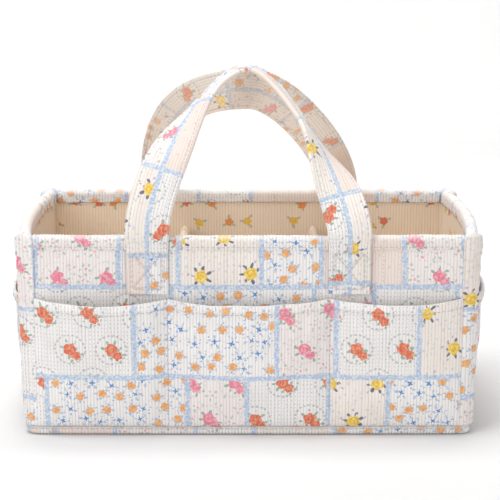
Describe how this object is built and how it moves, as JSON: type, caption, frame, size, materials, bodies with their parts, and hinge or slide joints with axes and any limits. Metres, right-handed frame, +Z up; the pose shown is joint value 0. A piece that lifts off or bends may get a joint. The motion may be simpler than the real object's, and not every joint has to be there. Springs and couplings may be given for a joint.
{
  "type": "diaper caddy",
  "caption": "Rectangular quilted fabric caddy with padded walls, slack outer pocket bands, movable inner dividers and twisting carry handles on both long sides.",
  "frame": {"origin": "on the floor under the middle of the box", "axes": "+X to the right seen from the front, along the long side; +Y to the back; +Z up"},
  "size_m": [0.412, 0.2698, 0.3028],
  "materials": {
    "printed_cotton": "matte ribbed cotton with a floral print",
    "binding_cotton": "matte folded cotton",
    "lining_cotton": "matte cotton",
    "foam": "soft foam padding",
    "base_board": "matte board",
    "fastening_tape": "hook and loop tape"
  },
  "bodies": {
    "box": {"front_outer_panel": "printed_cotton", "back_outer_panel": "printed_cotton", "left_outer_panel": "printed_cotton", "right_outer_panel": "printed_cotton", "bottom_outer_panel": "printed_cotton", "front_pocket_band": "printed_cotton", "back_pocket_band": "printed_cotton", "left_pocket_band": "printed_cotton", "right_pocket_band": "printed_cotton", "front_rim_binding": "printed_cotton", "back_rim_binding": "printed_cotton", "left_rim_binding": "printed_cotton", "right_rim_binding": "printed_cotton", "front_left_corner_roll": "printed_cotton", "front_right_corner_roll": "printed_cotton", "back_left_corner_roll": "printed_cotton", "back_right_corner_roll": "printed_cotton", "front_handle_left_end": "printed_cotton", "front_handle_right_end": "printed_cotton", "back_handle_left_end": "printed_cotton", "back_handle_right_end": "printed_cotton", "foot_binding": "binding_cotton", "front_lining": "lining_cotton", "back_lining": "lining_cotton", "left_lining": "lining_cotton", "right_lining": "lining_cotton", "bottom_lining": "lining_cotton", "front_padding": "foam", "back_padding": "foam", "left_padding": "foam", "right_padding": "foam", "bottom_padding": "foam", "base_board": "base_board", "front_loop_tape": "fastening_tape", "back_loop_tape": "fastening_tape"},
    "front_handle": {"front_handle_strap": "printed_cotton"},
    "back_handle": {"back_handle_strap": "printed_cotton"},
    "left_divider": {"left_divider_sleeve": "lining_cotton", "left_divider_core": "foam", "left_divider_front_hook": "fastening_tape", "left_divider_back_hook": "fastening_tape"},
    "right_divider": {"right_divider_sleeve": "lining_cotton", "right_divider_core": "foam", "right_divider_front_hook": "fastening_tape", "right_divider_back_hook": "fastening_tape"}
  },
  "joints": [
    {"name": "front_handle_swing", "type": "hinge", "parent": "box", "child": "front_handle", "pos_m": [0, -0.1299, 0.1725], "axis": [1, 0, 0], "range_deg": [0, 160]},
    {"name": "back_handle_swing", "type": "hinge", "parent": "box", "child": "back_handle", "pos_m": [0, 0.1299, 0.1725], "axis": [-1, 0, 0], "range_deg": [0, 160]},
    {"name": "left_divider_slide", "type": "slide", "parent": "box", "child": "left_divider", "axis": [1, 0, 0], "range_m": [-0.025, 0.025]},
    {"name": "right_divider_slide", "type": "slide", "parent": "box", "child": "right_divider", "axis": [1, 0, 0], "range_m": [-0.025, 0.025]}
  ]
}
